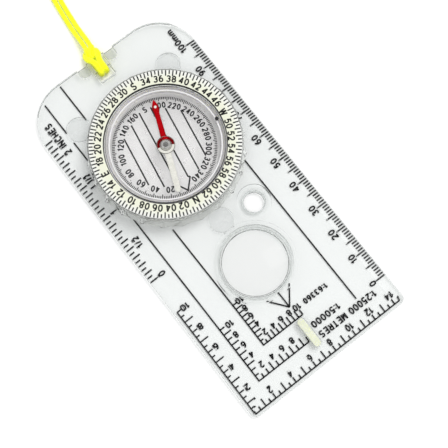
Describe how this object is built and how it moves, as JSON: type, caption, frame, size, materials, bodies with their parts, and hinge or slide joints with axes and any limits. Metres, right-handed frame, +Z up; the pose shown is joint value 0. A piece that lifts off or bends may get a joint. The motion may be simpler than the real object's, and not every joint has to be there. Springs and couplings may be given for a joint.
{
  "type": "baseplate compass",
  "caption": "Clear baseplate compass with a turning capsule, free needle, magnifier lens, map scales, marking hole and a neck lanyard hitched to its slot.",
  "frame": {"origin": "middle of the baseplate's footprint, on the surface the feet stand on", "axes": "+Z up through the plate, +Y the direction of travel (the plate's long way, away from the lanyard), +X the inch-scale edge"},
  "size_m": [0.061, 0.1791, 0.0123],
  "materials": {
    "clear_acrylic": "polished",
    "tinted_acrylic": "polished",
    "clear_silicone": "satin",
    "luminous_plastic": "matte",
    "white_nylon": "matte",
    "spring_steel": "brushed",
    "seal_rubber": "satin",
    "plug_rubber": "matte",
    "needle_enamel": "gloss",
    "needle_hub": "polished",
    "sapphire": "polished",
    "lanyard_cord": "woven",
    "tie_wire": "matte"
  },
  "bodies": {
    "baseplate": {"baseplate": "clear_acrylic", "magnifier_lens": "clear_acrylic", "foot_pad_left": "clear_silicone", "foot_pad_right": "clear_silicone", "foot_pad_front": "clear_silicone", "luminous_strip": "luminous_plastic", "friction_washer": "white_nylon", "lanyard_hitch": "lanyard_cord", "lanyard_strand_a": "lanyard_cord", "lanyard_strand_b": "lanyard_cord", "lanyard_coil": "lanyard_cord", "coil_tie": "tie_wire", "lanyard_end_knot": "lanyard_cord"},
    "capsule": {"bezel_ring": "tinted_acrylic", "luminous_band": "luminous_plastic", "retaining_ring": "spring_steel", "capsule_body": "clear_acrylic", "capsule_dome": "clear_acrylic", "capsule_seal": "seal_rubber", "filler_plug": "plug_rubber", "pivot_post": "spring_steel"},
    "needle": {"needle_blade": "needle_enamel", "hub_cap": "needle_hub", "jewel_bearing": "sapphire"}
  },
  "joints": [
    {"name": "bezel_turn", "type": "hinge", "parent": "baseplate", "child": "capsule", "pos_m": [0, -0.0226, 0.0075], "axis": [0, 0, 1], "continuous": true},
    {"name": "needle_swing", "type": "hinge", "parent": "capsule", "child": "needle", "pos_m": [0, -0.0226, 0.0097], "axis": [0, 0, 1], "continuous": true}
  ]
}
